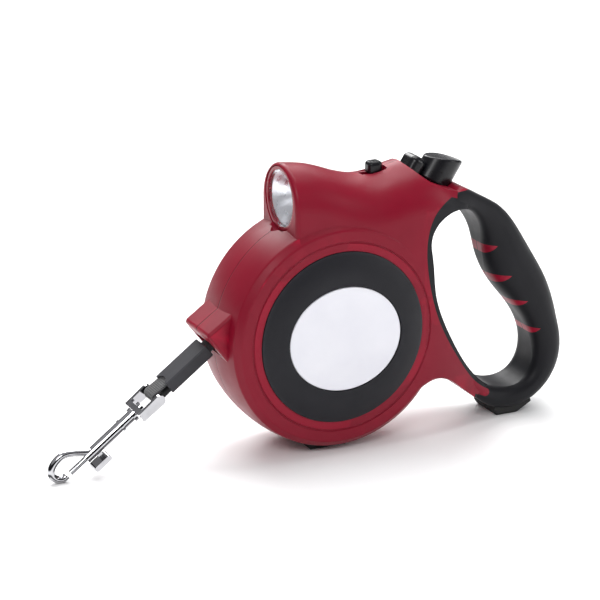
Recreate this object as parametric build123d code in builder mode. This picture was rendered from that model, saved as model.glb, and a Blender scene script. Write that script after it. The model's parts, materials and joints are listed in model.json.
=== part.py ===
"""Retractable tape leash: hand-held housing with a sprung reel, torch, brake, lock and trigger snap.

Millimetres. The nose points to -X, the handle to +X, the two housing halves meet on the plane Y = 0
and +Z is up. The origin lies on the standing plane, straight below the reel's axis.
"""
import os
from math import cos, radians, sin

from build123d import *

os.makedirs("parts", exist_ok=True)

# ---------------------------------------------------------------- driving dimensions
AXIS_Z = 58.5          # height of the reel axis above the standing plane
DRUM_R = 57.0          # rim radius on the joint plane
DRUM_EDGE_R = 55.2     # rim radius where the edge rounding starts
DRUM_HALF = 22.0       # half thickness of the drum
WALL = 2.5             # housing wall
CAVITY_R = 50.5        # inside radius of the drum
CAVITY_HALF = DRUM_HALF - WALL
COVER_R = 42.0         # radius of the round side cover
COVER_RECESS = 0.8
GROOVE_R = 46.5        # decorative groove round the cover
LABEL_HALF_X = 29.0
LABEL_HALF_Z = 25.5
LABEL_FACE_Y = 25.2
GRIP_SKIN = 2.0        # thickness of the soft grip
TURRET_X = -23.0       # front face of the torch turret
LAMP_Z = 65.3          # torch axis above the reel axis
LAMP_R = 13.5          # clear lens radius
BEZEL_R = 15.7
AXLE_R = 4.0
RUNNING = 0.05         # radial running clearance of a shaft
FLANGE_R = 47.5
TOOTH_COUNT = 24
TOOTH_DEPTH = 4.0
HUB_R = 22.0
PACK_R = 35.0          # outside radius of the wound tape
TAPE_WIDTH = 12.0
TAPE_THICK = 1.0
SPRING_CUP_R = 36.0
PULL_ANGLE = 36.87     # slope of the outgoing tape below the horizontal
SNAP_ANGLE = 37.2      # slope of the snap below the horizontal
PRESS_ANGLE = 57.3     # slope of the brake and lock buttons' travel
SCREW_R = 1.5
SCREW_SITES = [(-36.6, -36.6), (12.0, -50.4), (-42.5, 29.6), (48.0, -24.0), (103.0, 17.0), (100.0, -50.0)]


def side(y=0.0):
    """Plane of the side view at depth y: local x is X, local y is the height above the reel axis."""
    return Plane(origin=(0, y, AXIS_Z), x_dir=(1, 0, 0), z_dir=(0, -1, 0))


def across(x):
    """Plane across the body at X = x: local x is Y, local y is the height above the reel axis."""
    return Plane(origin=(x, 0, AXIS_Z), x_dir=(0, 1, 0), z_dir=(1, 0, 0))


def along(x, z, slope):
    """Plane whose normal points along -X and down by slope degrees, local x is Y."""
    down = radians(slope)
    return Plane(origin=(x, 0, AXIS_Z + z), x_dir=(0, 1, 0), z_dir=(-cos(down), 0, -sin(down)))


REEL_AXIS = Axis((0, 0, AXIS_Z), (0, 1, 0))
RADIAL = Plane(origin=(0, 0, AXIS_Z), x_dir=(1, 0, 0), z_dir=(0, 0, 1))   # local x radius, local y Y


def ring_about_reel(inner, outer, low, high):
    """Plain ring or disc about the reel's axis, from Y = low to Y = high."""
    with BuildPart() as ring:
        with BuildSketch(RADIAL):
            with Locations(((inner + outer) / 2, (low + high) / 2)):
                Rectangle(outer - inner, high - low)
        revolve(axis=REEL_AXIS)
    return ring.part


def finish(part, name):
    """Label a finished piece and write its file."""
    part.label = name
    export_step(part, f"parts/{name}.step")


# ---------------------------------------------------------------- housing form
def drum_form():
    with BuildPart() as drum:
        with BuildSketch(RADIAL):
            with BuildLine():
                low_corner = (DRUM_EDGE_R, -DRUM_HALF + 3)
                high_corner = (DRUM_EDGE_R, DRUM_HALF - 3)
                Polyline(low_corner, (DRUM_EDGE_R - 3, -DRUM_HALF), (0, -DRUM_HALF), (0, DRUM_HALF))
                Polyline((0, DRUM_HALF), (DRUM_EDGE_R - 3, DRUM_HALF), high_corner)
                ThreePointArc(high_corner, (DRUM_R, 0), low_corner)
            make_face()
        revolve(axis=REEL_AXIS)
        corners = drum.edges().filter_by(GeomType.CIRCLE).filter_by(lambda e: e.radius > DRUM_EDGE_R - 4)
        fillet(corners, radius=1.6)
    return drum.part


# x, half width, height of the crown, for the arched upper body
ARCH = [(TURRET_X, 19.5, 82.7), (-8, 19.8, 80.2), (6, 20.6, 75.4), (20, 21.4, 73.0), (38, 22, 76.6), (54, 21.5, 75.5),
        (69, 16.6, 70.0)]


def arch_form(inset, first, last):
    """Arched upper body, lofted through round-topped sections across X."""
    with BuildPart() as arch:
        for x, half, crown in ARCH[first:last]:
            wide = half - inset
            with BuildSketch(across(x)):
                with BuildLine():
                    Line((-wide, 10), (-wide, crown - half))
                    ThreePointArc((-wide, crown - half), (0, crown - inset), (wide, crown - half))
                    Line((wide, crown - half), (wide, 10))
                    Line((wide, 10), (-wide, 10))
                make_face()
        loft()
    return arch.part


# outer point, inner point and half width of the handle ring's sections, from the top neck round to the lower neck
HANDLE = [((63, 62.4), (60, 52.4), 18.6), ((75, 59.5), (71.5, 51.3), 15.8), ((86, 53.5), (78.5, 44.8), 13.8),
          ((96, 45.8), (82.4, 36.2), 13.0), ((105.6, 33.5), (84.2, 26), 13.0), ((114.1, 20.5), (88.5, 14.3), 13.0),
          ((121.5, 7), (95.5, 4.3), 13.0), ((126.5, -10), (103.8, -5.6), 13.0), ((128.2, -22), (111, -18), 13.0),
          ((126.4, -35), (112.6, -31), 13.0), ((119, -46.5), (109, -39.5), 13.0), ((107, -54), (102, -43.4), 13.0),
          ((92, -54.5), (92.5, -43.4), 13.2), ((80, -47.5), (85, -40.2), 14.2), ((68, -38), (75.5, -32.8), 16.0)]


def handle_form(inset, first=0, last=len(HANDLE)):
    """Handle ring, lofted through rounded sections that stand on the ring's centre line."""
    with BuildPart() as ring:
        for outer, inner, half in HANDLE[first:last]:
            span = Vector(outer[0] - inner[0], 0, outer[1] - inner[1])
            middle = ((outer[0] + inner[0]) / 2, 0, AXIS_Z + (outer[1] + inner[1]) / 2)
            deep = span.length - 2 * inset
            wide = 2 * (half - inset)
            with BuildSketch(Plane(origin=middle, x_dir=span.normalized(), z_dir=span.cross(Vector(0, 1, 0)))):
                RectangleRounded(deep, wide, 0.46 * min(deep, wide))
        loft()
    return ring.part


OPENING = [(47.1, 36), (54, 51.6), (65, 54), (74.9, 49), (81.5, 38.8), (84, 27.5), (88, 15), (97, 2.2), (106.5, -9.5),
           (112, -22), (112, -34), (105.5, -42.3), (95, -43.9), (83, -39), (72.5, -29.5), (60.5, -12), (49.9, 13)]


def opening_cut(grow):
    """The hand opening right through the body, each point of its outline moved out by grow."""
    grown = []
    for k, point in enumerate(OPENING):
        before = OPENING[k - 1]
        after = OPENING[(k + 1) % len(OPENING)]
        outward = Vector(before[1] - after[1], after[0] - before[0]).normalized()
        grown.append(Vector(*point) + outward * grow)
    with BuildPart() as opening:
        with BuildSketch(side()):
            with BuildLine():
                Spline(*grown, periodic=True)
            make_face()
        extrude(amount=40, both=True)
    return opening.part


def neck_form(half):
    """Web between the drum and the lower end of the handle."""
    with BuildPart() as neck:
        with BuildSketch(side()):
            with BuildLine():
                Line((30, 10), (30, -44))
                Spline((30, -44), (41, -34.8), (53, -29.9), (66, -36.6), (76, -44.6),
                       tangents=[(0.75, 0.65), (0.8, -0.6)])
                Line((76, -44.6), (86, -38))
                Line((86, -38), (60, 10))
                Line((60, 10), (30, 10))
            make_face()
        extrude(amount=half, both=True)
        lower_edges = neck.edges().filter_by(GeomType.BSPLINE)
        fillet(lower_edges, radius=3.5)
    return neck.part


def plan_taper(inset):
    """Space either side of the neck, where the body narrows from the drum to the handle."""
    with BuildPart() as taper:
        with BuildSketch(Plane.XY):
            for way in (1, -1):
                with BuildLine():
                    Spline((44, way * (DRUM_HALF - inset)), (60, way * (20.2 - inset)), (76, way * (15.4 - inset)),
                           (90, way * (13.2 - inset)), tangents=[(1, 0), (1, 0)])
                    Line((90, way * (13.2 - inset)), (90, way * 30))
                    Line((90, way * 30), (44, way * 30))
                    Line((44, way * 30), (44, way * (DRUM_HALF - inset)))
                make_face()
        extrude(amount=150)
    return taper.part


def saddle_cut(drop):
    """Space above the saddle that carries the brake and lock buttons."""
    with BuildPart() as saddle:
        with BuildSketch(side()):
            with BuildLine():
                Spline((39.5, 76.4 - drop), (46, 70.6 - drop), (56, 65 - drop), (70, 60.8 - drop), (78, 58.4 - drop),
                       tangents=[(0.75, -0.66), (0.93, -0.36)])
                Polyline((78, 58.4 - drop), (78, 95), (39.5, 95), (39.5, 76.4 - drop))
            make_face()
        extrude(amount=40, both=True)
    return saddle.part


def nozzle_form():
    """Wedge under the nose that the tape leaves through."""
    with BuildPart() as nozzle:
        with BuildSketch(side()):
            with BuildLine():
                Polyline((-50, 18.8), (-53.5, 16.6), (-65.4, 8.2), (-66.1, 6.6), (-55.4, -7.6), (-50, -8), (-50, 18.8))
            make_face()
        extrude(amount=14, both=True)
        front_edges = nozzle.edges().filter_by(lambda e: e.center().X < -53)
        fillet(front_edges, radius=1.6)
    return nozzle.part


def foot_form():
    """Heel under the handle, the second point the body stands on."""
    with BuildPart() as heel:
        with BuildSketch(side()):
            with BuildLine():
                Polyline((91.5, -50), (89.6, -56), (91.4, -AXIS_Z), (103, -AXIS_Z), (111, -54), (108, -46), (91.5, -50))
            make_face()
        extrude(amount=10.5, both=True)
        fillet(heel.edges().filter_by(lambda e: e.center().Z < 5), radius=1.4)
    return heel.part


def turret_front():
    """Round the turret's front face runs a soft edge."""
    with BuildPart() as turret:
        add(arch_form(0, 0, len(ARCH)))
        front = turret.faces().sort_by(Axis.X)[0]
        fillet(front.edges().filter_by(lambda e: e.center().Z > AXIS_Z + 12), radius=2.2)
    return turret.part


def body_form(side_inset, handle_inset, opening_grow):
    """The whole outer form, with the neck's sides, the handle and the opening inset by the amounts given."""
    with BuildPart() as body:
        add(drum_form())
        add(turret_front())
        add(neck_form(DRUM_HALF))
        add(plan_taper(side_inset), mode=Mode.SUBTRACT)
        add(saddle_cut(0), mode=Mode.SUBTRACT)
        add(nozzle_form())
        add(handle_form(handle_inset))
        add(opening_cut(opening_grow), mode=Mode.SUBTRACT)
    return body.part


def grip_zone():
    """Region of the side view that the soft grip covers, seen through the whole thickness."""
    with BuildPart() as zone:
        with BuildSketch(side()):
            with BuildLine():
                Spline((73, 61.4), (61, 61.6), (50.4, 56), (44.7, 42), (45.3, 25), (52, 0), (64.6, -22), (79.5, -39),
                       (84, -41.8))
                ThreePointArc((84, -41.8), (84.3, -44.6), (81.6, -45))
                Polyline((81.6, -45), (76, -42.6), (68, -70), (140, -70), (140, 66), (75.5, 66), (73, 61.4))
            make_face()
        extrude(amount=40, both=True)
    return zone.part


# point and height of each land
FANGS = [(88.6, 30.7, 6.4), (96.9, 14.4, 5.4), (106.3, 0.1, 5.2), (114.1, -15.3, 5.8)]


def fang_zone():
    """Four pointed lands on the inner side of the handle, where the shell shows through the grip."""
    with BuildPart() as fangs:
        with BuildSketch(side()):
            for x, z, tall in FANGS:
                with BuildLine():
                    Polyline((x, z), (x - 14, z + 0.6), (x - 14, z - tall), (x - 7.5, z - 0.9 * tall))
                    ThreePointArc((x - 7.5, z - 0.9 * tall), (x - 2.8, z - 0.55 * tall), (x, z))
                make_face()
        extrude(amount=40, both=True)
    return fangs.part


# ---------------------------------------------------------------- places of the buttons
def press_plane(x, z):
    """Plane square to the buttons' travel at a point: local x runs down the saddle, the normal points out."""
    tilt = radians(PRESS_ANGLE)
    return Plane(origin=(x, 0, AXIS_Z + z), x_dir=(sin(tilt), 0, -cos(tilt)), z_dir=(cos(tilt), 0, sin(tilt)))


BRAKE_SEAT = press_plane(57.7, 65.2)
LOCK_SEAT = press_plane(45.6, 71.8)
BRAKE_HALF_X, BRAKE_HALF_Y = 9.5, 8.0
LOCK_X, LOCK_Y = 8.4, 12.6
STEM_X = -5.8          # brake stem's place across the button


def button_holes():
    """Openings in the saddle that the brake and lock buttons travel in."""
    with BuildPart() as holes:
        with BuildSketch(BRAKE_SEAT.offset(-6)):
            Ellipse(BRAKE_HALF_X + 0.35, BRAKE_HALF_Y + 0.35)
        extrude(amount=26)
        with BuildSketch(LOCK_SEAT.offset(-6)):
            RectangleRounded(LOCK_X + 0.7, LOCK_Y + 0.7, 3)
        extrude(amount=20)
    return holes.part


def spring_ribs():
    """Ribs from wall to wall that carry the button springs."""
    with BuildPart() as ribs:
        with BuildSketch(BRAKE_SEAT.offset(-10.6)):
            with Locations((1.2, 0)):
                Rectangle(7.5, 2 * DRUM_HALF - 6)
        extrude(amount=3)
        with BuildSketch(LOCK_SEAT.offset(-12.2)):
            Rectangle(7.5, 2 * DRUM_HALF - 6)
        extrude(amount=3)
    return ribs.part


# ---------------------------------------------------------------- hollow inside the housing
def hollow_form():
    with BuildPart() as hollow:
        add(ring_about_reel(0, CAVITY_R, -CAVITY_HALF, CAVITY_HALF))
        add(arch_form(WALL, 0, len(ARCH)))
        with BuildSketch(across(-40)):
            Rectangle(60, 200)
        extrude(amount=TURRET_X + WALL + 40, mode=Mode.SUBTRACT)
        add(ring_about_reel(0, CAVITY_R, -CAVITY_HALF, CAVITY_HALF))
        add(saddle_cut(WALL), mode=Mode.SUBTRACT)
        add(opening_cut(1.6 + 1.7), mode=Mode.SUBTRACT)
        add(spring_ribs(), mode=Mode.SUBTRACT)
        add(handle_form(4.4, 3, 12))
    return hollow.part


def screw_posts(radius, low, high):
    """Round posts at the housing screws, from Y = low to Y = high."""
    with BuildPart() as posts:
        with BuildSketch(side(high)):
            with Locations(*SCREW_SITES):
                Circle(radius)
        extrude(amount=high - low)
    return posts.part


def tape_slot():
    """Slot through the rim and the nozzle for the tape, with a pocket for its guide."""
    with BuildPart() as slot:
        with BuildSketch(along(-21 - 0.8 * 20, 28 - 0.6 * 20, PULL_ANGLE)):
            Rectangle(TAPE_WIDTH + 3, 5)
        extrude(amount=45)
        with BuildSketch(along(-21 - 0.8 * 41, 28 - 0.6 * 41, PULL_ANGLE)):
            RectangleRounded(19, 9, 1.5)
        extrude(amount=20)
    return slot.part


def lamp_bore():
    with BuildPart() as bore:
        with BuildSketch(across(TURRET_X - 2)):
            with Locations((0, LAMP_Z)):
                Circle(BEZEL_R + 0.05)
        extrude(amount=2 + 3.2)
        with BuildSketch(across(TURRET_X)):
            with Locations((0, LAMP_Z)):
                Circle(14.4)
        extrude(amount=6)
    return bore.part


def thumb_scoop():
    """Round dish in the rim in front of the torch, where a thumb gets at the bezel."""
    with BuildPart() as scoop:
        with Locations((TURRET_X - 1.0, 2.0, AXIS_Z + 57.5)):
            Sphere(8.5)
        with BuildSketch(across(TURRET_X)):
            Rectangle(200, 400)
        extrude(amount=40, mode=Mode.SUBTRACT)
    return scoop.part


def switch_slot():
    """Recess and slot for the torch switch on the crown."""
    with BuildPart() as slot:
        with BuildSketch(Plane.XY.offset(AXIS_Z + 72.4)):
            with Locations((24.6, 0)):
                RectangleRounded(14.6, 8.8, 1.6)
        extrude(amount=8)
        with BuildSketch(Plane.XY.offset(AXIS_Z + 66)):
            with Locations((24.6, 0)):
                Rectangle(10.4, 4.4)
        extrude(amount=8)
    return slot.part


def face_details(way):
    """Cover recess and ring groove on the side face at Y = way * DRUM_HALF."""
    face_y = way * DRUM_HALF
    deep_y = way * (DRUM_HALF - COVER_RECESS)
    with BuildPart() as details:
        add(ring_about_reel(0, COVER_R + 0.3, min(face_y, deep_y), max(face_y, deep_y) + 0.001))
        with BuildSketch(RADIAL):
            with Locations((GROOVE_R, face_y)):
                Circle(0.55)
        revolve(axis=REEL_AXIS)
    return details.part



def half_space():
    """Everything on the left of the joint plane."""
    with BuildPart() as space:
        with BuildSketch(side()):
            Rectangle(400, 400)
        extrude(amount=60)
    return space.part


def left_half(form):
    with BuildPart() as half:
        add(form)
        add(half_space(), mode=Mode.INTERSECT)
    return half.part


full_form = body_form(0, 0, 0)
full_half = left_half(full_form)
core_half = left_half(body_form(1.5, GRIP_SKIN, 1.6))


def lands_half():
    """The pointed lands, as thick as the finished handle."""
    with BuildPart() as lands:
        add(full_half)
        add(fang_zone(), mode=Mode.INTERSECT)
    return lands.part


def posts_half():
    with BuildPart() as posts:
        add(screw_posts(3.4, -DRUM_HALF, 0))
        add(core_half, mode=Mode.INTERSECT)
    return posts.part


with BuildPart() as half_shell:
    add(full_half)
    add(grip_zone(), mode=Mode.SUBTRACT)
    add(core_half)
    add(lands_half())
    add(hollow_form(), mode=Mode.SUBTRACT)
    add(posts_half())
    add(ring_about_reel(AXLE_R, 8, -CAVITY_HALF - 0.5, -CAVITY_HALF + 0.8))
    for cutter in (button_holes(), tape_slot(), lamp_bore(), thumb_scoop(), switch_slot(), face_details(-1)):
        add(cutter, mode=Mode.SUBTRACT)

with BuildPart() as left_shell:
    add(half_shell.part)
    add(ring_about_reel(AXLE_R, 8, -CAVITY_HALF - 0.5, -CAVITY_HALF + 4))
    add(screw_posts(SCREW_R - 0.25, -14, 1), mode=Mode.SUBTRACT)

with BuildPart() as right_shell:
    add(half_shell.part)
    mirror(about=Plane.XZ, mode=Mode.REPLACE)
    add(screw_posts(SCREW_R, -1, 30), mode=Mode.SUBTRACT)
    add(screw_posts(3.0, 11, 30), mode=Mode.SUBTRACT)
    add(ring_about_reel(0, 1.6, 15, 24), mode=Mode.SUBTRACT)

finish(left_shell.part, "left_shell")
finish(right_shell.part, "right_shell")

# ---------------------------------------------------------------- soft grip
with BuildPart() as grip_skin:
    add(full_half)
    add(grip_zone(), mode=Mode.INTERSECT)
    add(core_half, mode=Mode.SUBTRACT)
    add(fang_zone(), mode=Mode.SUBTRACT)
    add(button_holes(), mode=Mode.SUBTRACT)

with BuildPart() as left_grip:
    add(grip_skin.part.solids().sort_by(SortBy.VOLUME)[-1])

with BuildPart() as right_grip:
    add(left_grip.part)
    mirror(about=Plane.XZ, mode=Mode.REPLACE)
    add(screw_posts(3.0, 9, 30), mode=Mode.SUBTRACT)

finish(left_grip.part, "left_grip")
finish(right_grip.part, "right_grip")

with BuildPart() as housing_screws:
    with BuildSketch(side(13.4)):
        with Locations(*SCREW_SITES):
            Circle(2.7)
    extrude(amount=2.3)
    with BuildSketch(side(11.1)):
        with Locations(*SCREW_SITES):
            Circle(1.2)
    extrude(amount=21)
    with BuildSketch(side(13.4)):
        with Locations(*SCREW_SITES):
            Rectangle(3.2, 0.8)
            Rectangle(0.8, 3.2)
    extrude(amount=1.2, mode=Mode.SUBTRACT)
finish(housing_screws.part, "housing_screws")

with BuildPart() as foot_pad:
    with BuildSketch(side()):
        with BuildLine():
            Polyline((-13.5, -54), (-12.5, -AXIS_Z), (6, -AXIS_Z), (9, -54), (-13.5, -54))
        make_face()
    extrude(amount=12.5, both=True)
    fillet(foot_pad.edges().filter_by(lambda e: e.center().Z < 2), radius=1.0)
    add(full_form, mode=Mode.SUBTRACT)
finish(foot_pad.part, "foot_pad")

with BuildPart() as heel_pad:
    add(foot_form())
    add(full_form, mode=Mode.SUBTRACT)
finish(heel_pad.part, "heel_pad")


# ---------------------------------------------------------------- side covers and labels
def side_cover(way):
    """Domed round cover with an oval recess for the label; way is +1 on the right side and -1 on the left."""
    base_y = way * (DRUM_HALF - COVER_RECESS)
    with BuildPart() as cover:
        with BuildSketch(RADIAL):
            with BuildLine():
                Polyline((COVER_R, way * 22.5), (COVER_R, base_y), (0, base_y), (0, way * LABEL_FACE_Y),
                         (28, way * LABEL_FACE_Y))
                ThreePointArc((28, way * LABEL_FACE_Y), (36.5, way * 24.5), (COVER_R, way * 22.5))
            make_face()
        revolve(axis=REEL_AXIS)
        with BuildSketch(side(way * (LABEL_FACE_Y - 1.5))):
            Ellipse(LABEL_HALF_X + 0.35, LABEL_HALF_Z + 0.35)
        extrude(amount=-way * 5, mode=Mode.SUBTRACT)
        add(ring_about_reel(0, 3.4, min(base_y - way, way * 24), max(base_y - way, way * 24)), mode=Mode.SUBTRACT)
    return cover.part


def side_label(way):
    """Plain oval label plate in the cover's recess."""
    with BuildPart() as label:
        with BuildSketch(side(way * (LABEL_FACE_Y - 1.5))):
            Ellipse(LABEL_HALF_X, LABEL_HALF_Z)
        extrude(amount=-way * 1.3)
        outer_face = label.faces().sort_by(Axis.Y)[-1 if way > 0 else 0]
        fillet(outer_face.edges(), radius=0.5)
    return label.part


for way, name in ((-1, "left"), (1, "right")):
    finish(side_cover(way), f"{name}_cover")
    finish(side_label(way), f"{name}_label")

# ---------------------------------------------------------------- reel and return spring
SPRING_LOW, SPRING_HIGH = 10.2, 16.6

with BuildPart() as axle:
    add(ring_about_reel(0, AXLE_R - 0.02, -CAVITY_HALF + 0.5, CAVITY_HALF - 0.05))
    add(ring_about_reel(0, 6.5, SPRING_LOW, SPRING_HIGH))
    add(ring_about_reel(0, 1.2, 8, 25), mode=Mode.SUBTRACT)
finish(axle.part, "axle")

with BuildPart() as axle_screw:
    add(ring_about_reel(0, 1.18, 9, DRUM_HALF - COVER_RECESS))
    add(ring_about_reel(0, 3.0, DRUM_HALF - COVER_RECESS, 23.2))
finish(axle_screw.part, "axle_screw")

with BuildPart() as reel:
    add(ring_about_reel(HUB_R - 2, HUB_R, -8.6, 9.6))
    add(ring_about_reel(AXLE_R + RUNNING, 7, -10, 9.6))
    add(ring_about_reel(6.5, HUB_R, -8.6, -6.8))
    add(ring_about_reel(6.5, SPRING_CUP_R, 7.2, 9.6))
    add(ring_about_reel(HUB_R - 1, FLANGE_R, -8.6, -6.8))
    add(ring_about_reel(HUB_R - 1, FLANGE_R, 7.0, 8.8))
    add(ring_about_reel(SPRING_CUP_R - 1.6, SPRING_CUP_R, 8, 16.8))
    with BuildSketch(side(12)):
        with PolarLocations(FLANGE_R - TOOTH_DEPTH / 2 + 0.5, TOOTH_COUNT, start_angle=47.4):
            Rectangle(TOOTH_DEPTH + 1, 6.6)
    extrude(amount=24, mode=Mode.SUBTRACT)
finish(reel.part, "reel")

with BuildPart() as spring_cover:
    add(ring_about_reel(7.2, SPRING_CUP_R, 16.85, 18.2))
finish(spring_cover.part, "spring_cover")


SPRING_TURNS = 9
SPRING_STEP = 2.6      # growth of the spring's radius in a turn
SPRING_START = 7.6

with BuildPart() as return_spring:
    with BuildSketch(side(SPRING_HIGH - 0.2)):
        with BuildLine():
            for k in range(2 * SPRING_TURNS):
                radius = SPRING_START + k * SPRING_STEP / 2
                CenterArc((SPRING_STEP / 2 * (k % 2), 0), radius, 180 * (k % 2), 180)
        trace(line_width=0.6)
    extrude(amount=SPRING_HIGH - SPRING_LOW - 0.4)
finish(return_spring.part, "return_spring")

with BuildPart() as wound_tape:
    add(ring_about_reel(HUB_R, PACK_R, -TAPE_WIDTH / 2, TAPE_WIDTH / 2))
finish(wound_tape.part, "wound_tape")


# ---------------------------------------------------------------- torch
def lamp_disc(radius, low_x, high_x, hole=0.0):
    """Round piece on the torch's axis from X = low_x to X = high_x."""
    with BuildPart() as disc:
        with BuildSketch(across(low_x)):
            with Locations((0, LAMP_Z)):
                Circle(radius)
                if hole:
                    Circle(hole, mode=Mode.SUBTRACT)
        extrude(amount=high_x - low_x)
    return disc.part


LAMP_AXIS = Axis((0, 0, AXIS_Z + LAMP_Z), (1, 0, 0))
LAMP_PROFILE = Plane(origin=(0, 0, AXIS_Z + LAMP_Z), x_dir=(1, 0, 0), z_dir=(0, -1, 0))

with BuildPart() as lamp_bezel:
    add(lamp_disc(BEZEL_R, TURRET_X + 0.35, TURRET_X + 3.2, LAMP_R + 0.05))
    fillet(lamp_bezel.edges().filter_by(GeomType.CIRCLE).sort_by(Axis.X)[:2], radius=0.7)
finish(lamp_bezel.part, "lamp_bezel")

with BuildPart() as lamp_lens:
    with BuildSketch(LAMP_PROFILE):
        with BuildLine():
            Polyline((TURRET_X, 0), (TURRET_X + 3.1, 0), (TURRET_X + 3.1, LAMP_R), (TURRET_X + 0.9, LAMP_R))
            Spline((TURRET_X + 0.9, LAMP_R), (TURRET_X + 0.25, 7), (TURRET_X, 0), tangents=[(-0.2, -1), (0, -1)])
        make_face()
    revolve(axis=LAMP_AXIS)
finish(lamp_lens.part, "lamp_lens")

with BuildPart() as lamp_reflector:
    with BuildSketch(LAMP_PROFILE):
        with BuildLine():
            Line((TURRET_X + 3.2, 13.9), (TURRET_X + 3.2, 13.0))
            ThreePointArc((TURRET_X + 3.2, 13.0), (TURRET_X + 8, 9.0), (TURRET_X + 17, 3.0))
            Line((TURRET_X + 17, 3.0), (TURRET_X + 17, 4.0))
            ThreePointArc((TURRET_X + 17, 4.0), (TURRET_X + 8, 10.2), (TURRET_X + 3.2, 13.9))
        make_face()
    revolve(axis=LAMP_AXIS)
finish(lamp_reflector.part, "lamp_reflector")

with BuildPart() as lamp_led:
    add(lamp_disc(2.5, TURRET_X + 13.5, TURRET_X + 17))
    fillet(lamp_led.edges().filter_by(GeomType.CIRCLE).sort_by(Axis.X)[0], radius=2.0)
    add(lamp_disc(2.8, TURRET_X + 17, TURRET_X + 18))
finish(lamp_led.part, "lamp_led")

finish(lamp_disc(9, TURRET_X + 18, TURRET_X + 19.4), "lamp_board")

CELL_R = 5.8
CELL_START = 1.0
CELL_PITCH = 5.4
CELL_Z = 63.0


def cell_disc(radius, low_x, high_x, hole=0.0):
    """Round piece on the axis of the cells."""
    with BuildPart() as disc:
        with BuildSketch(across(low_x)):
            with Locations((0, CELL_Z)):
                Circle(radius)
                if hole:
                    Circle(hole, mode=Mode.SUBTRACT)
        extrude(amount=high_x - low_x)
    return disc.part


with BuildPart() as battery_holder:
    add(cell_disc(7.2, -1.6, 18.6, CELL_R + 0.1))
    add(cell_disc(7.2, 18.6, 19.6))
    with BuildSketch(Plane.XY.offset(AXIS_Z + CELL_Z)):
        with Locations((8.5, 0)):
            Rectangle(15, 8)
    extrude(amount=12, mode=Mode.SUBTRACT)
finish(battery_holder.part, "battery_holder")

with BuildPart() as button_cells:
    for k in range(3):
        add(cell_disc(CELL_R, CELL_START + k * CELL_PITCH, CELL_START + k * CELL_PITCH + 5.2))
finish(button_cells.part, "button_cells")

with BuildPart() as battery_contact:
    with BuildSketch(across(-2.6)):
        with Locations((0, CELL_Z)):
            Circle(4)
    extrude(amount=0.5)
    with BuildSketch(across(-2.1)):
        with Locations((0, CELL_Z)):
            Circle(3)
    extrude(amount=3.0, taper=32)
finish(battery_contact.part, "battery_contact")

with BuildPart() as lamp_switch_body:
    with BuildSketch(Plane.XY.offset(AXIS_Z + 62.6)):
        with Locations((26.5, 0)):
            Rectangle(12, 6)
    extrude(amount=4.2)
finish(lamp_switch_body.part, "lamp_switch_body")

KNOB_X = 26.4
with BuildPart() as lamp_switch_knob:
    with BuildSketch(Plane.XY.offset(AXIS_Z + 72.9)):
        with Locations((KNOB_X, 0)):
            RectangleRounded(7.4, 6.8, 2.2)
    extrude(amount=5.3)
    fillet(lamp_switch_knob.faces().sort_by(Axis.Z)[-1].edges(), radius=2.1)
    with BuildSketch(Plane.XY.offset(AXIS_Z + 77.7)):
        with Locations((KNOB_X, 0)):
            with GridLocations(1.5, 1, 4, 1):
                Rectangle(0.6, 4.6)
    extrude(amount=1, mode=Mode.SUBTRACT)
    with BuildSketch(Plane.XY.offset(AXIS_Z + 66.9)):
        with Locations((KNOB_X, 0)):
            Rectangle(3.6, 3.6)
    extrude(amount=6.2)
finish(lamp_switch_knob.part, "lamp_switch_knob")

# ---------------------------------------------------------------- brake and lock buttons
with BuildPart() as brake_button:
    with BuildSketch(BRAKE_SEAT.offset(-1.2)):
        Ellipse(BRAKE_HALF_X, BRAKE_HALF_Y)
    extrude(amount=17)
    with BuildSketch(side(20)):
        with BuildLine():
            Spline((48, 77.4), (56, 77.2), (66, 75.4), (80, 70), tangents=[(1, 0.1), (0.9, -0.45)])
            Polyline((80, 70), (80, 95), (48, 95), (48, 77.4))
        make_face()
    extrude(amount=40, mode=Mode.SUBTRACT)
    fillet(brake_button.faces().sort_by(Axis.Z)[-1].edges(), radius=1.0)
finish(brake_button.part, "brake_button")

with BuildPart() as brake_pawl:
    with BuildSketch(BRAKE_SEAT.offset(-1.2)):
        with Locations((STEM_X, 0)):
            Rectangle(3.4, 7)
    extrude(amount=-32)
    with BuildSketch(BRAKE_SEAT.offset(-32)):
        with Locations((STEM_X, 0)):
            Rectangle(3.4, 19)
    extrude(amount=-5)
finish(brake_pawl.part, "brake_pawl")

with BuildPart() as lock_button:
    with BuildSketch(LOCK_SEAT.offset(-1.6)):
        RectangleRounded(LOCK_X, LOCK_Y, 3.4)
    extrude(amount=8.8)
    fillet(lock_button.faces().sort_by(Axis.Z)[-1].edges(), radius=3.0)
    for height in (1.6, 3.2):
        with BuildSketch(LOCK_SEAT.offset(height)):
            with Locations((-LOCK_X / 2, 0)):
                Rectangle(0.8, 7)
        extrude(amount=0.7, mode=Mode.SUBTRACT)
finish(lock_button.part, "lock_button")


def coil(plane, start, height, radius, turns, wire):
    """Compression spring standing on a plane, its first end at height start."""
    base = plane.offset(start)
    with BuildPart() as spring:
        with BuildLine():
            path = Helix(pitch=height / turns, height=height, radius=radius,
                         center=base.origin, direction=base.z_dir)
        with BuildSketch(Plane(origin=path @ 0, z_dir=path % 0)):
            Circle(wire)
        sweep(path=path, is_frenet=True)
    return spring.part


finish(coil(BRAKE_SEAT, -7.0, 5.2, 2.6, 4, 0.35), "brake_spring")
finish(coil(LOCK_SEAT, -8.6, 6.4, 2.6, 4, 0.35), "lock_spring")

# ---------------------------------------------------------------- lead
def lead_plane(distance):
    """Plane across the outgoing tape, distance along it from where it leaves the pack."""
    return along(-21 - 0.8 * distance, 28 - 0.6 * distance, PULL_ANGLE)


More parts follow.
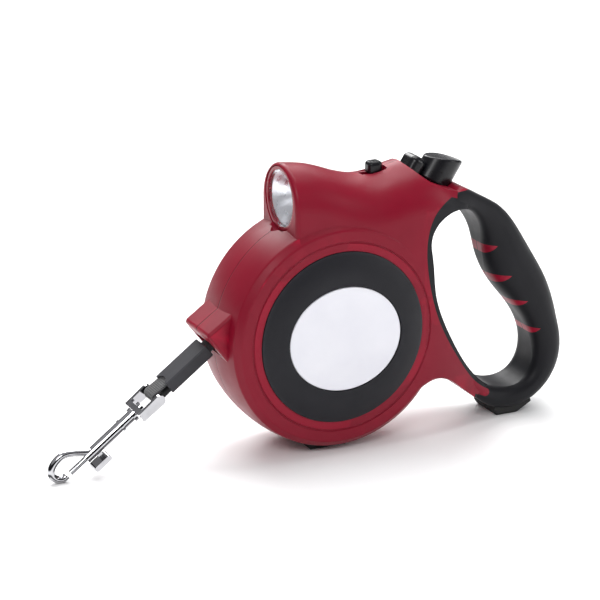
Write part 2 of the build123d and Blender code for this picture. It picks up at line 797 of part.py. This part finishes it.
with BuildPart() as tape_run:
    with BuildSketch(lead_plane(2)):
        with Locations((0, -0.55)):
            Rectangle(TAPE_WIDTH, TAPE_THICK)
    extrude(amount=54)
finish(tape_run.part, "tape_run")

with BuildPart() as tape_guide:
    with BuildSketch(lead_plane(41.4)):
        RectangleRounded(18.6, 8.6, 1.4)
        RectangleRounded(14, 3.6, 1.2, mode=Mode.SUBTRACT)
    extrude(amount=6.4)
finish(tape_guide.part, "tape_guide")

with BuildPart() as stop_sleeve:
    with BuildSketch(lead_plane(50.8)):
        RectangleRounded(13, 6.2, 0.9)
    extrude(amount=26)
    fillet(stop_sleeve.faces().sort_by(Axis.X)[-1].edges(), radius=0.5)
    with BuildSketch(lead_plane(50)):
        with Locations((0, -0.55)):
            Rectangle(TAPE_WIDTH, TAPE_THICK)
    extrude(amount=6, mode=Mode.SUBTRACT)
    with BuildSketch(lead_plane(72)):
        Rectangle(11.6, 5.0)
    extrude(amount=6, mode=Mode.SUBTRACT)
    with BuildSketch(Plane(origin=(-21 - 0.8 * 80, 0, AXIS_Z + 28 - 0.6 * 80), z_dir=(0.6, 0, -0.8))):
        Circle(5.6)
    extrude(amount=-6, mode=Mode.SUBTRACT)
finish(stop_sleeve.part, "stop_sleeve")

PIVOT = (-21 - 0.8 * 84, 28 - 0.6 * 84)
PIN_R = 1.5
STRAP_THICK = 1.15
LEAD_SIDE = Plane(origin=(PIVOT[0], 0, AXIS_Z + PIVOT[1]), x_dir=(-0.8, 0, -0.6), z_dir=(0, 1, 0))

with BuildPart() as strap_loop:
    with BuildSketch(LEAD_SIDE):
        with BuildLine():
            outer = PIN_R + 0.1 + STRAP_THICK
            Polyline((-12, outer - 0.5), (-3, outer), (0, outer))
            ThreePointArc((0, outer), (outer, 0), (0, -outer))
            Polyline((0, -outer), (-3, -outer), (-12, 0.5 - outer), (-12, outer - 0.5))
        make_face()
        with BuildLine():
            inner = PIN_R + 0.1
            Line((-3, inner), (0, inner))
            ThreePointArc((0, inner), (inner, 0), (0, -inner))
            Polyline((0, -inner), (-3, -inner), (-6, 0), (-3, inner))
        make_face(mode=Mode.SUBTRACT)
    extrude(amount=5.5, both=True)
finish(strap_loop.part, "strap_loop")

# ---------------------------------------------------------------- trigger snap
SNAP_DROP = radians(SNAP_ANGLE)
SNAP_DIR = Vector(-cos(SNAP_DROP), 0, -sin(SNAP_DROP))
SNAP_SIDE = Plane(origin=LEAD_SIDE.origin, x_dir=SNAP_DIR, z_dir=(0, 1, 0))


def snap_plane(distance):
    """Plane across the snap: local x is Y, local y points to its upper side."""
    return Plane(origin=LEAD_SIDE.origin + SNAP_DIR * distance, x_dir=(0, 1, 0), z_dir=SNAP_DIR)


def snap_rod(radius, low, high):
    with BuildPart() as rod:
        with BuildSketch(snap_plane(low)):
            Circle(radius)
        extrude(amount=high - low)
    return rod.part


POST_R = 1.6
with BuildPart() as snap_eye:
    with BuildSketch(LEAD_SIDE):
        Circle(PIN_R)
    extrude(amount=8.2, both=True)
    for y in (-8, 8):
        with BuildSketch(SNAP_SIDE.offset(y - 1)):
            with BuildLine():
                Polyline((0, 2.6), (8, 2.3), (11.8, 2.3), (11.8, -2.3), (8, -2.3), (0, -2.6))
                ThreePointArc((0, -2.6), (-2.6, 0), (0, 2.6))
            make_face()
        extrude(amount=2)
    with BuildSketch(snap_plane(9.2)):
        RectangleRounded(18, 4.8, 1.6)
    extrude(amount=2.8)
    add(snap_rod(POST_R + 0.06, 8, 13), mode=Mode.SUBTRACT)
finish(snap_eye.part, "snap_eye")

with BuildPart() as snap_hook:
    add(snap_rod(2.7, 7.4, 9.0))
    add(snap_rod(POST_R, 7.4, 15))
    add(snap_rod(3.5, 12.3, 14.2))
    add(snap_rod(2.6, 14.0, 43.2))
    add(snap_rod(3.0, 20.0, 21.4))
    with BuildLine():
        hook_line = Spline(*[SNAP_SIDE.from_local_coords(p) for p in
                             ((39.5, 1.2), (44.2, 5.2), (49.2, 9.2), (55.2, 9.6), (60, 6.2), (59.4, 2.2), (55, 0.3))])
    with BuildSketch(Plane(origin=hook_line @ 0, z_dir=hook_line % 0)):
        Circle(1.75)
    sweep(path=hook_line)
    add(snap_rod(1.35, 24, 45), mode=Mode.SUBTRACT)
    with BuildSketch(SNAP_SIDE):
        with Locations((32.4, -2.5)):
            Rectangle(13.4, 5)
    extrude(amount=0.95, both=True, mode=Mode.SUBTRACT)
finish(snap_hook.part, "snap_hook")

with BuildPart() as snap_bolt:
    add(snap_rod(1.3, 34.2, 53.0))
    with BuildSketch(SNAP_SIDE):
        with Locations((37, -3.2)):
            Rectangle(2.4, 5.4)
    extrude(amount=0.85, both=True)
    with BuildSketch(SNAP_SIDE):
        with Locations((38.8, -6.6)):
            SlotOverall(10, 2.6)
    extrude(amount=3.6, both=True)
finish(snap_bolt.part, "snap_bolt")

finish(coil(snap_plane(0), 24.4, 9.4, 0.9, 6, 0.2), "bolt_spring")
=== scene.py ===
"""Retractable tape leash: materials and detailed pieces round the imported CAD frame. Metres."""
import json
import math

import bmesh
import bpy
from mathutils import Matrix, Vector


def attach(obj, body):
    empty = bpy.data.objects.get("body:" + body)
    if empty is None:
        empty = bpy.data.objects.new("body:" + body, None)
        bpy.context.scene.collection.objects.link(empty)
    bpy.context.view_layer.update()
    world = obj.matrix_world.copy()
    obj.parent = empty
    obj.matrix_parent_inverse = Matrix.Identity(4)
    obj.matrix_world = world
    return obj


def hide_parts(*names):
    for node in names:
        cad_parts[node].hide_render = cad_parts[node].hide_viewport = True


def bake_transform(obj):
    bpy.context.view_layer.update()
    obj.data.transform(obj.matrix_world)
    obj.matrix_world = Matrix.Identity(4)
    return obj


MM = 0.001
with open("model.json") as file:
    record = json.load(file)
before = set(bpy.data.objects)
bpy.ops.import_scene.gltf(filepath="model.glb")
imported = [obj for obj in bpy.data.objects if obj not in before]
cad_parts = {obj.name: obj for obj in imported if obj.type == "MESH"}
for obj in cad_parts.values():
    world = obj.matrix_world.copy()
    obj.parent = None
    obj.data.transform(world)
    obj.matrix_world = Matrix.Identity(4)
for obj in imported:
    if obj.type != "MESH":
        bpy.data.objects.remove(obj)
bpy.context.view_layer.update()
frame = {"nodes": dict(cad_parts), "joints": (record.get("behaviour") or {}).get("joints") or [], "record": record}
nodes = frame["nodes"]
joints = {j["name"]: j for j in frame["joints"]}
REEL = Vector(joints["reel_spin"]["pos_m"])
PIVOT = Vector(joints["eye_pivot"]["pos_m"])
LEAD_DIR = Vector(joints["lead_pull"]["axis"]).normalized()
LEAD_UP = Vector((-0.6, 0, 0.8))

# webbing sizes in millimetres
TAPE_WIDTH = 12
STRAP_WIDTH = 10.8
WEBBING_THICK = 1.0
STRAP_TURN_RADIUS = 2.2
SMOOTH_DEGREES = 32


# ---------------------------------------------------------------- camera, light and floor
CAMERA_TURN = math.radians(25.31)
CAMERA_RISE = math.radians(18.19)
CAMERA_DISTANCE = 1.2
CAMERA_TARGET = Vector((-0.01216, 0, REEL.z + 0.01375))


def make_camera():
    level = math.cos(CAMERA_RISE)
    back = Vector((-math.sin(CAMERA_TURN) * level, -math.cos(CAMERA_TURN) * level, math.sin(CAMERA_RISE)))
    data = bpy.data.cameras.new("camera")
    data.sensor_width = 36
    data.lens = 151.2
    camera = bpy.data.objects.new("camera", data)
    camera.location = CAMERA_TARGET + back * CAMERA_DISTANCE
    camera.rotation_euler = (-back).to_track_quat("-Z", "Y").to_euler()
    bpy.context.scene.collection.objects.link(camera)
    bpy.context.scene.camera = camera


def area_light(name, place, target, size, power):
    data = bpy.data.lights.new(name, "AREA")
    data.shape = "RECTANGLE"
    data.size, data.size_y = size
    data.energy = power
    light = bpy.data.objects.new(name, data)
    light.location = place
    light.rotation_euler = (Vector(target) - Vector(place)).to_track_quat("-Z", "Y").to_euler()
    bpy.context.scene.collection.objects.link(light)


def make_world():
    """Soft studio surround, grey at the horizon and pale overhead."""
    world = bpy.data.worlds.new("studio")
    world.use_nodes = True
    tree = world.node_tree
    background = tree.nodes["Background"]
    coords = tree.nodes.new("ShaderNodeTexCoord")
    split = tree.nodes.new("ShaderNodeSeparateXYZ")
    ramp = tree.nodes.new("ShaderNodeValToRGB")
    horizon, overhead = ramp.color_ramp.elements
    horizon.position = 0.0
    horizon.color = (0.34, 0.34, 0.35, 1)
    overhead.position = 0.75
    overhead.color = (0.75, 0.75, 0.77, 1)
    tree.links.new(coords.outputs["Generated"], split.inputs[0])
    tree.links.new(split.outputs["Z"], ramp.inputs[0])
    tree.links.new(ramp.outputs["Color"], background.inputs["Color"])
    background.inputs["Strength"].default_value = 0.55
    bpy.context.scene.world = world


def make_stage():
    make_world()
    area_light("key", (-0.55, -0.75, 0.75), (0, 0, 0.07), (0.45, 0.35), 4.2)
    area_light("top", (0.1, 0.1, 0.95), (0, 0, 0.07), (0.7, 0.35), 5)
    area_light("side", (0.75, -0.55, 0.35), (0.03, 0, 0.07), (0.2, 0.5), 1.6)
    area_light("rear", (0.4, 2.6, 1.7), (0, 0, 0.07), (1.6, 1.0), 34)
    area_light("backdrop", (0.5, 1.5, 1.6), (0.5, 1.5, 0), (2.4, 2.0), 45)
    bpy.ops.mesh.primitive_plane_add(size=16, location=(0, 0, 0))
    floor = bpy.context.object
    floor.name = "floor"
    floor.data.materials.append(floor_material())
    bpy.context.scene.view_settings.view_transform = "Standard"


# ---------------------------------------------------------------- material tools
class Graph:
    """Short calls for building a node material."""

    def __init__(self, name, color, rough, metal=0.0):
        self.material = bpy.data.materials.new(name)
        self.material.use_nodes = True
        self.tree = self.material.node_tree
        self.shader = self.tree.nodes["Principled BSDF"]
        self.set("Base Color", (*color, 1))
        self.set("Roughness", rough)
        self.set("Metallic", metal)
        self.coords = self.tree.nodes.new("ShaderNodeTexCoord").outputs["Object"]

    def set(self, socket, value):
        self.shader.inputs[socket].default_value = value

    def link(self, out, socket):
        self.tree.links.new(out, socket)

    def node(self, kind, **values):
        made = self.tree.nodes.new("ShaderNode" + kind)
        for key, value in values.items():
            if key in made.inputs:
                made.inputs[key].default_value = value
            else:
                setattr(made, key, value)
        return made

    def math(self, operation, a, b=None, clamp=False):
        made = self.node("Math", operation=operation, use_clamp=clamp)
        for socket, value in zip(made.inputs, (a, b)):
            if value is None:
                continue
            if isinstance(value, (int, float)):
                socket.default_value = value
            else:
                self.link(value, socket)
        return made.outputs[0]

    def noise(self, scale, detail=3.0, stretch=None):
        """Value of a noise of scale features to the millimetre."""
        made = self.node("TexNoise", Scale=scale / MM, Detail=detail)
        vector = self.coords
        if stretch:
            mapping = self.node("Mapping")
            mapping.inputs["Scale"].default_value = stretch
            self.link(self.coords, mapping.inputs["Vector"])
            vector = mapping.outputs[0]
        self.link(vector, made.inputs["Vector"])
        return made.outputs["Fac"]

    def remap(self, value, low, high, out_low, out_high):
        made = self.node("MapRange")
        for key, number in zip(("From Min", "From Max", "To Min", "To Max"), (low, high, out_low, out_high)):
            made.inputs[key].default_value = number
        self.link(value, made.inputs["Value"])
        return made.outputs[0]

    def mix(self, factor, a, b):
        """Colour between a and b; each is a colour or an output."""
        made = self.node("Mix", data_type="RGBA")
        self.link(factor, made.inputs[0])
        for socket, value in ((made.inputs[6], a), (made.inputs[7], b)):
            if isinstance(value, tuple):
                socket.default_value = (*value, 1)
            else:
                self.link(value, socket)
        return made.outputs[2]

    def color(self, out):
        self.link(out, self.shader.inputs["Base Color"])

    def rough(self, out):
        self.link(out, self.shader.inputs["Roughness"])

    def bump(self, height, strength, depth):
        """Bump of the given depth in millimetres."""
        made = self.node("Bump", Strength=strength, Distance=depth * MM)
        self.link(height, made.inputs["Height"])
        if self.shader.inputs["Normal"].is_linked:
            self.link(self.shader.inputs["Normal"].links[0].from_socket, made.inputs["Normal"])
        self.link(made.outputs[0], self.shader.inputs["Normal"])

    def painted_edge_highlight(self, low=0.53, high=0.62):
        """Painted edge highlight mask: 1 on convex edges, from the surface's pointiness."""
        geometry = self.node("NewGeometry")
        return self.remap(geometry.outputs["Pointiness"], low, high, 0, 1)

    def xyz(self):
        split = self.node("SeparateXYZ")
        self.link(self.coords, split.inputs[0])
        return split.outputs


def moulded(name, color, edge_highlight_color, rough, grain, depth, coat=0.0, specular=0.25):
    """Moulded plastic with spark-eroded grain, slight colour drift and a painted highlight on its convex edges."""
    g = Graph(name, color, rough)
    drift = g.noise(0.03)
    tinted = g.mix(g.remap(drift, 0.35, 0.65, 0, 1), color, tuple(0.9 * c for c in color))
    # painted highlight: convex edges are mixed towards the paler edge colour
    g.color(g.mix(g.math("MULTIPLY", g.painted_edge_highlight(), 0.6), tinted, edge_highlight_color))
    g.rough(g.remap(g.noise(0.12), 0.3, 0.7, rough - 0.04, rough + 0.05))
    g.bump(g.noise(grain, 2.0), 0.35, depth)
    g.set("Coat Weight", coat)
    g.set("Coat Roughness", 0.2)
    g.set("Specular IOR Level", specular)
    return g


RED = (0.215, 0.0025, 0.017)
# colour of the painted highlight on the edges of the red parts
RED_EDGE_HIGHLIGHT = (0.42, 0.004, 0.03)


def shell_material():
    """Grained red plastic with the dark hairline where the two halves meet on Y = 0."""
    g = moulded("shell_red", RED, RED_EDGE_HIGHLIGHT, 0.38, 2.2, 0.045, specular=0.22)
    across = g.math("ABSOLUTE", g.xyz()[1])
    away = g.remap(across, 0.22 * MM, 0.40 * MM, 0, 1)
    surface = g.shader.inputs["Base Color"].links[0].from_socket
    g.color(g.mix(away, (0.03, 0.0, 0.003), surface))
    g.bump(away, 0.7, 0.25)
    return g.material


def floor_material():
    g = Graph("floor_pale", (0.97, 0.97, 0.97), 0.9)
    g.rough(g.remap(g.noise(0.02), 0.3, 0.7, 0.85, 0.95))
    g.set("Specular IOR Level", 0.1)
    return g.material


def grip_material():
    g = moulded("grip_black", (0.0075, 0.0075, 0.010), (0.014, 0.014, 0.017), 0.45, 3.0, 0.02, specular=0.17)
    g.set("Sheen Weight", 0.03)
    return g.material


def cover_material():
    return moulded("cover_black", (0.0095, 0.0095, 0.013), (0.03, 0.03, 0.036), 0.5, 3.0, 0.03).material


def label_material():
    g = Graph("label_white", (0.72, 0.72, 0.78), 0.22)
    g.color(g.mix(g.remap(g.noise(0.04), 0.3, 0.7, 0, 1), (0.72, 0.72, 0.78), (0.78, 0.78, 0.83)))
    g.rough(g.remap(g.noise(0.3), 0.3, 0.7, 0.18, 0.27))
    g.bump(g.noise(0.5), 0.1, 0.01)
    g.set("Coat Weight", 0.4)
    return g.material


def button_material():
    black, edge = (0.004, 0.004, 0.006), (0.015, 0.015, 0.018)
    return moulded("button_black", black, edge, 0.26, 1.0, 0.008, 0.15).material


def bezel_material():
    return moulded("bezel_red", (0.23, 0.0025, 0.016), RED_EDGE_HIGHLIGHT, 0.24, 1.2, 0.01, 0.2).material


def sleeve_material():
    return moulded("sleeve_black", (0.022, 0.022, 0.026), (0.06, 0.06, 0.068), 0.36, 2.5, 0.02).material


def reel_material():
    return moulded("reel_plastic", (0.62, 0.61, 0.56), (0.7, 0.69, 0.64), 0.45, 1.5, 0.02).material


def rubber_material():
    return moulded("rubber_black", (0.012, 0.012, 0.012), (0.03, 0.03, 0.03), 0.7, 2.0, 0.04).material


def board_material():
    return moulded("board_green", (0.02, 0.14, 0.05), (0.03, 0.2, 0.08), 0.35, 1.0, 0.02).material


def metal(name, color, rough, scratch, stretch=None, dark=0.0):
    """Metal with fine scratches; dark is how deeply a painted reflection, two dark bands picked by the reflection
    direction, is painted into its colour.
    """
    g = Graph(name, color, rough, 1.0)
    tinted = g.mix(g.remap(g.noise(0.15), 0.35, 0.7, 0, 1), color, tuple(0.86 * c for c in color))
    if dark:
        # painted reflection: the colour darkens where the reflected direction meets two height bands, standing in
        # for mirrored dark studio cards
        seen = g.node("TexCoord").outputs["Reflection"]
        split = g.node("SeparateXYZ")
        g.link(seen, split.inputs[0])
        for height, half in ((0.14, 0.2), (-0.62, 0.1)):
            band = g.math("ABSOLUTE", g.math("SUBTRACT", split.outputs[2], height))
            tinted = g.mix(g.remap(band, half, half + 0.12, dark, 0), tinted, (0.02, 0.02, 0.024))
    g.color(tinted)
    g.rough(g.remap(g.noise(0.6, 4.0, stretch), 0.3, 0.75, rough * 0.7, rough * 1.5))
    g.bump(g.noise(scratch, 3.0, stretch), 0.12, 0.012)
    return g.material


def tape_material():
    """Woven nylon: twill diagonals across the tape with fine threads."""
    g = Graph("tape_black", (0.012, 0.012, 0.013), 0.75)
    wave = g.node("TexWave", Scale=420.0, Distortion=0.6, bands_direction="DIAGONAL")
    g.link(g.coords, wave.inputs["Vector"])
    threads = wave.outputs["Fac"]
    g.color(g.mix(threads, (0.008, 0.008, 0.009), (0.035, 0.035, 0.038)))
    g.bump(threads, 0.6, 0.12)
    g.bump(g.noise(4.0), 0.3, 0.05)
    g.set("Sheen Weight", 0.35)
    g.rough(g.remap(g.noise(0.5), 0.3, 0.7, 0.65, 0.85))
    return g.material


def lens_material():
    g = Graph("lens_clear", (0.97, 0.98, 1.0), 0.04)
    g.set("Transmission Weight", 1.0)
    g.set("IOR", 1.06)
    g.rough(g.remap(g.noise(0.2), 0.4, 0.7, 0.02, 0.07))
    g.bump(g.noise(0.25), 0.05, 0.01)
    return g.material


def led_material():
    g = Graph("led_yellow", (0.9, 0.75, 0.25), 0.2)
    g.color(g.mix(g.noise(0.6), (0.9, 0.75, 0.25), (0.95, 0.9, 0.6)))
    g.bump(g.noise(1.0), 0.1, 0.01)
    return g.material


def paint_frame():
    """Give every CAD node the material of its slot."""
    # chrome gets the painted reflection of two dark bands
    chrome = metal("chrome", (0.56, 0.56, 0.58), 0.08, 1.2, dark=0.95)
    turned = metal("steel", (0.55, 0.55, 0.57), 0.28, 3.0, (1, 0.1, 1))
    made = {"shell_red": shell_material(), "grip_black": grip_material(),
            "cover_black": cover_material(), "label_white": label_material(),
            "button_black": button_material(), "bezel_red": bezel_material(),
            "sleeve_black": sleeve_material(), "reel_plastic": reel_material(),
            "rubber_black": rubber_material(), "board_green": board_material(),
            "chrome": chrome, "steel": turned,
            "screw_steel": metal("screw_steel", (0.45, 0.45, 0.47), 0.3, 2.0),
            "spring_steel": metal("spring_steel", (0.35, 0.35, 0.38), 0.25, 2.0),
            "tape_black": tape_material(), "lens_clear": lens_material(), "led_yellow": led_material(),
            "reflector": metal("reflector", (0.86, 0.86, 0.88), 0.3, 0.8, (1, 0.25, 0.25))}
    slots = {s["node"]: s["material_slot"] for s in frame["record"]["subparts"]}
    for name, node in nodes.items():
        node.data.materials.clear()
        node.data.materials.append(made[slots[name]])
        smooth(node, SMOOTH_DEGREES)
    return made


def smooth(piece, degrees):
    bpy.context.view_layer.objects.active = piece
    bpy.ops.object.select_all(action="DESELECT")
    piece.select_set(True)
    bpy.ops.object.shade_smooth_by_angle(angle=math.radians(degrees))


# ---------------------------------------------------------------- webbing
def strip_mesh(name, path, widths, thick, rib_pitch=0.0, rib_depth=0.0):
    """Flat webbing whose middle line follows path in the plane Y = 0; its section has rounded edges."""
    mesh = bmesh.new()
    corners = 20
    rings = []
    travelled = 0.0
    for k, point in enumerate(path):
        before, after = path[max(k - 1, 0)], path[min(k + 1, len(path) - 1)]
        forward = (after - before).normalized()
        up = Vector((0, 1, 0)).cross(forward)
        if k:
            travelled += (point - path[k - 1]).length
        swell = rib_depth * math.cos(2 * math.pi * travelled / rib_pitch) if rib_pitch else 0.0
        ring = []
        for j in range(corners):
            turn = 2 * math.pi * j / corners
            across = math.copysign(abs(math.cos(turn)) ** 0.22, math.cos(turn)) * widths / 2
            lift = math.copysign(abs(math.sin(turn)) ** 0.5, math.sin(turn)) * (thick / 2 + swell)
            ring.append(mesh.verts.new(point + Vector((0, across, 0)) + up * lift))
        rings.append(ring)
    for one, two in zip(rings, rings[1:]):
        for j in range(corners):
            mesh.faces.new((one[j], one[(j + 1) % corners], two[(j + 1) % corners], two[j]))
    mesh.faces.new(rings[0][::-1])
    mesh.faces.new(rings[-1])
    bmesh.ops.recalc_face_normals(mesh, faces=mesh.faces)
    data = bpy.data.meshes.new(name)
    mesh.to_mesh(data)
    piece = bpy.data.objects.new(name, data)
    bpy.context.scene.collection.objects.link(piece)
    smooth(piece, 50)
    return piece


def along_lead(distance, lift=0.0):
    """Point on the outgoing tape, measured in mm from the snap's pivot back towards the reel."""
    return PIVOT - LEAD_DIR * distance * MM + LEAD_UP * lift * MM


def make_tape(material):
    """The tape from inside the nose to the stop."""
    steps = [62, 56, 50, 44, 40] + [38.5 - 0.35 * k for k in range(14)] + [33, 31, 28.5]
    path = [along_lead(d, -0.55) for d in steps]
    piece = strip_mesh("tape_strip", path, TAPE_WIDTH * MM, WEBBING_THICK * MM)
    piece.data.materials.append(material)
    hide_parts("tape_run")
    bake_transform(piece)


def make_strap(material):
    """Ribbed webbing that leaves the stop, goes round the snap's pin and comes back."""
    radius = STRAP_TURN_RADIUS
    path = [along_lead(12.5 - 0.25 * k, 1.45 + 0.75 * k / 50) for k in range(51)]
    for k in range(1, 32):
        turn = math.pi * k / 32
        path.append(along_lead(-radius * math.sin(turn), radius * math.cos(turn)))
    path += [along_lead(0.25 * k, 0.75 * k / 50 - radius) for k in range(51)]
    piece = strip_mesh("strap_webbing", path, STRAP_WIDTH * MM, WEBBING_THICK * MM, 1.0 * MM, 0.13 * MM)
    piece.data.materials.append(material)
    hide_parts("strap_loop")
    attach(piece, "lead")


def make_spring(name):
    """Copy of a spring that sits between the body it stands on and the one that presses it."""
    source = nodes[name]
    mesh = source.data.copy()
    mesh.transform(source.matrix_world)
    piece = bpy.data.objects.new(name + "_coil", mesh)
    bpy.context.scene.collection.objects.link(piece)
    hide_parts(name)
    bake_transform(piece)


# ---------------------------------------------------------------- run
make_camera()
make_stage()
materials = paint_frame()
make_tape(materials["tape_black"])
make_strap(materials["tape_black"])
make_spring("brake_spring")
make_spring("lock_spring")
make_spring("bolt_spring")
